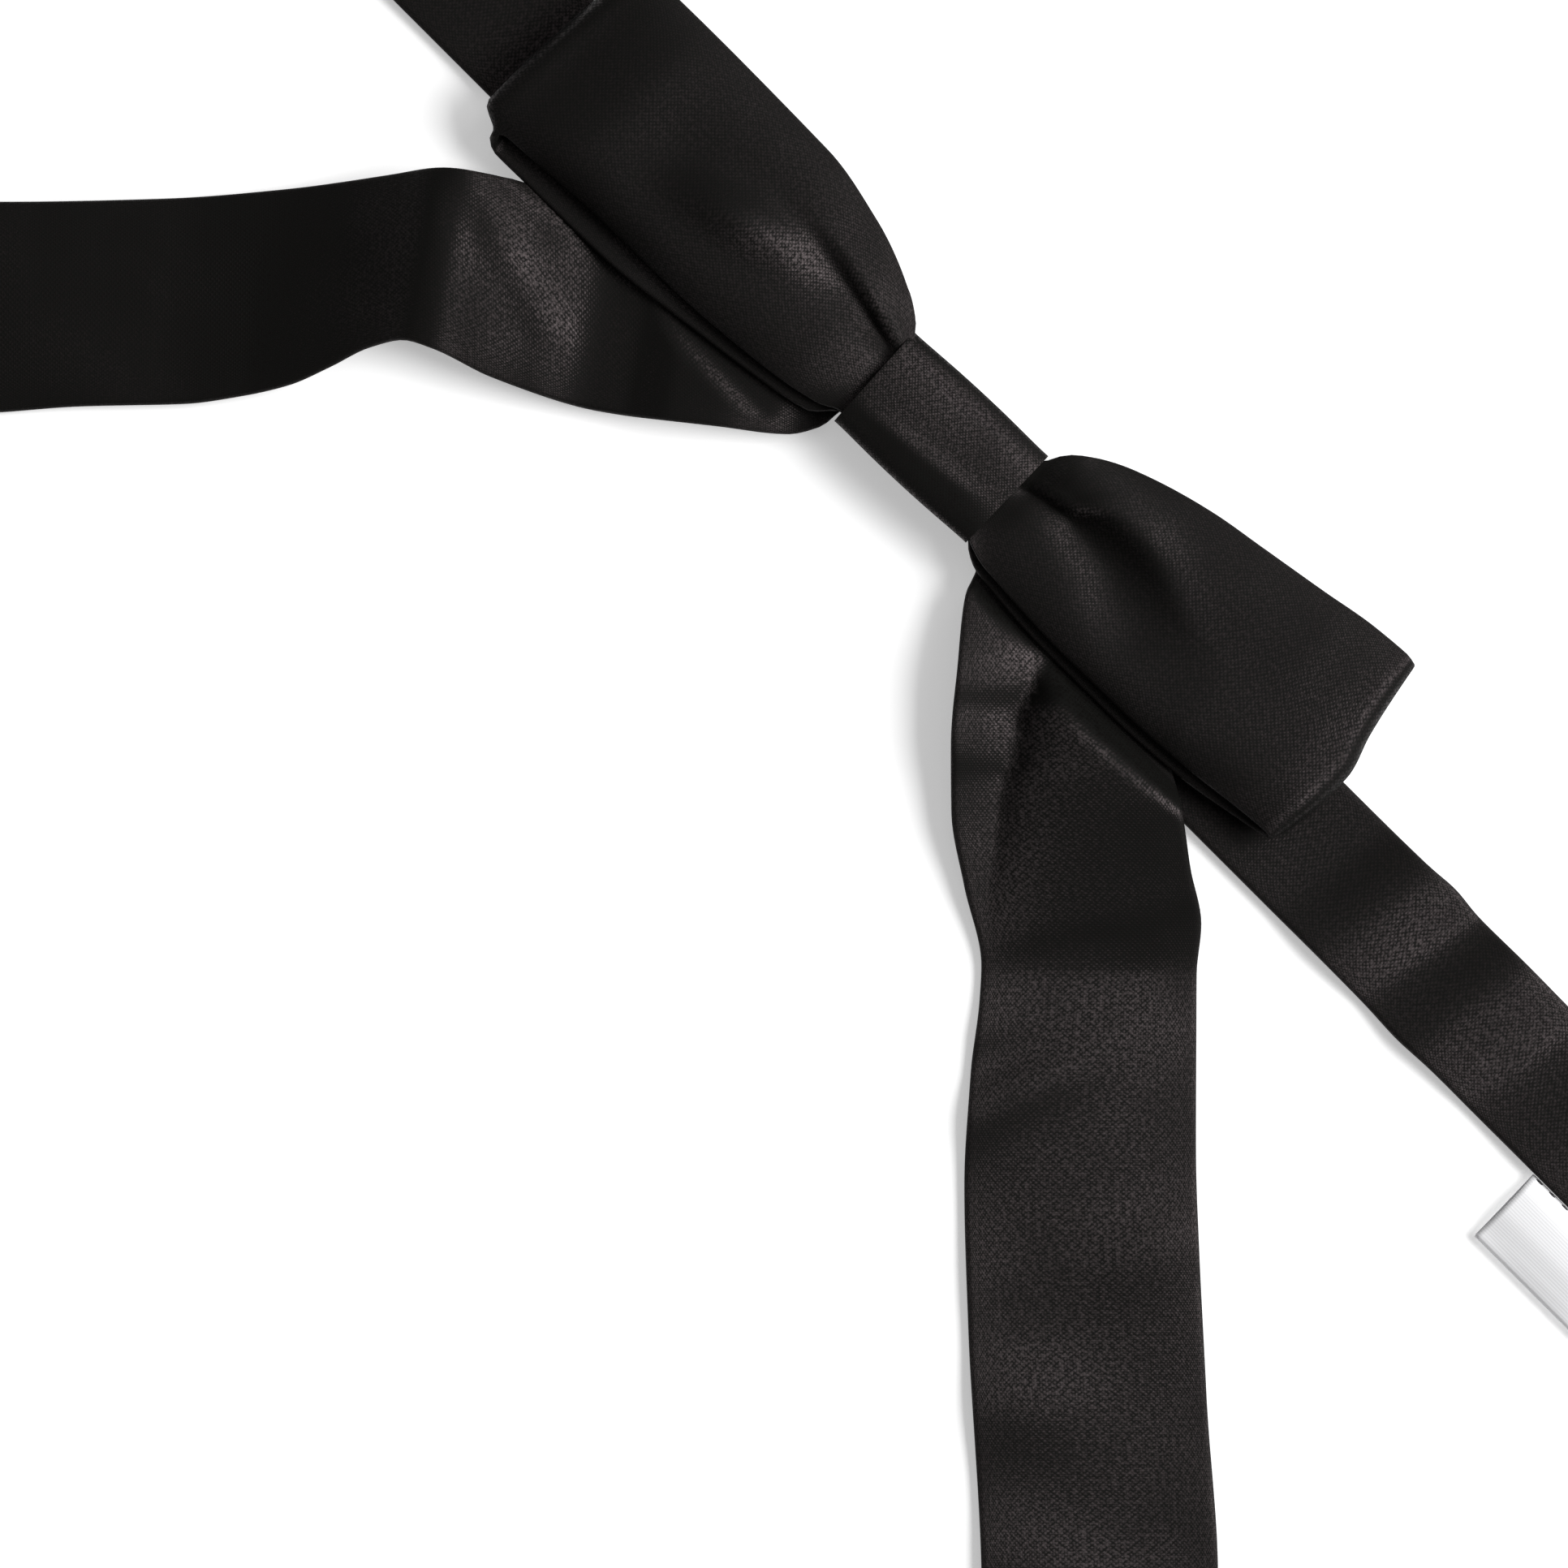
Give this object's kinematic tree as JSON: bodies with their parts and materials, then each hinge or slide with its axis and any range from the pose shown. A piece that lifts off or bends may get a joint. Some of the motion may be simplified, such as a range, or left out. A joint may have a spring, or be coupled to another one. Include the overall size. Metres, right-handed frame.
{
  "type": "bow tie",
  "caption": "Pre-tied slim black satin bow tie lying flat: two-loop bow, knot wrap, neck band with slider, hook and eye, and two long ribbon tails.",
  "frame": {"origin": "middle of the back of the knot, which is also the surface that the tie lies on", "axes": "+X along the neck band towards the end with the adjuster and hook, +Y to the top edge of the bow as worn, +Z away from the neck, out of the bow's front"},
  "size_m": [0.4686, 0.1905, 0.0119],
  "materials": {
    "satin": "black silk satin, warp-faced, soft sheen",
    "interlining": "plain woven interlining, undyed, matt",
    "thread": "black sewing thread",
    "label_tape": "white coated label tape, blank",
    "clasp_metal": "nickel-plated pressed steel, soft polish"
  },
  "bodies": {
    "knot": {"knot_wrap": "satin", "knot_seam_thread": "thread", "bow_ribbon": "satin", "bow_interlining": "interlining", "centre_tack_left": "thread", "centre_tack_right": "thread", "band_centre": "satin", "band_centre_interlining": "interlining", "tail_middle": "satin"},
    "band_left_end": {"band_left": "satin", "band_left_interlining": "interlining", "eye_tack": "thread"},
    "eye": {"eye_plate": "clasp_metal"},
    "band_right_end": {"band_right": "satin", "band_right_interlining": "interlining", "adjuster_run": "satin", "label_stitches": "thread"},
    "label": {"care_label": "label_tape"},
    "strap_end": {"strap_fold": "satin", "return_run": "satin"},
    "slider": {"slider_frame": "clasp_metal", "slider_loop": "satin", "slider_tack": "thread"},
    "hook": {"hook_plate": "clasp_metal"},
    "left_tail": {"tail_left": "satin", "tail_left_hem_thread": "thread"},
    "right_tail": {"tail_right": "satin", "tail_right_hem_thread": "thread"}
  },
  "joints": [
    {"name": "band_left_fold", "type": "hinge", "parent": "knot", "child": "band_left_end", "pos_m": [-0.03, -0.00085, 0.00075], "axis": [0, -1, 0], "range_deg": [0, 90]},
    {"name": "band_right_fold", "type": "hinge", "parent": "knot", "child": "band_right_end", "pos_m": [0.03, -0.0037, 0.00075], "axis": [0, 1, 0], "range_deg": [0, 90]},
    {"name": "tail_left_swing", "type": "hinge", "parent": "knot", "child": "left_tail", "pos_m": [-0.0178, -0.0015, 0.0034], "axis": [0, 0, 1], "range_deg": [0, 17]},
    {"name": "tail_right_swing", "type": "hinge", "parent": "knot", "child": "right_tail", "pos_m": [0.0178, -0.0015, 0.0034], "axis": [0, 0, -1], "range_deg": [0, 23]},
    {"name": "label_flap", "type": "hinge", "parent": "band_right_end", "child": "label", "pos_m": [0.1257, -0.01365, 0.0007], "axis": [-1, 0, 0], "range_deg": [-90, 90]},
    {"name": "strap_adjust", "type": "slide", "parent": "band_right_end", "child": "strap_end", "axis": [1, 0, 0], "range_m": [-0.025, 0.03], "deforming": ["adjuster_run"]},
    {"name": "slider_travel", "type": "slide", "parent": "strap_end", "child": "slider", "axis": [1, 0, 0], "range_m": [-0.025, 0.03], "deforming": ["return_run"]},
    {"name": "hook_tilt", "type": "hinge", "parent": "strap_end", "child": "hook", "pos_m": [0.262, -0.0037, 0.00225], "axis": [0, 1, 0], "range_deg": [-45, 45]},
    {"name": "eye_tilt", "type": "hinge", "parent": "band_left_end", "child": "eye", "pos_m": [-0.158, -0.00085, 0.0018], "axis": [0, 1, 0], "range_deg": [-45, 45]}
  ],
  "couplings": [
    {"joint": "slider_travel", "follows": "strap_adjust", "ratio": 1}
  ]
}
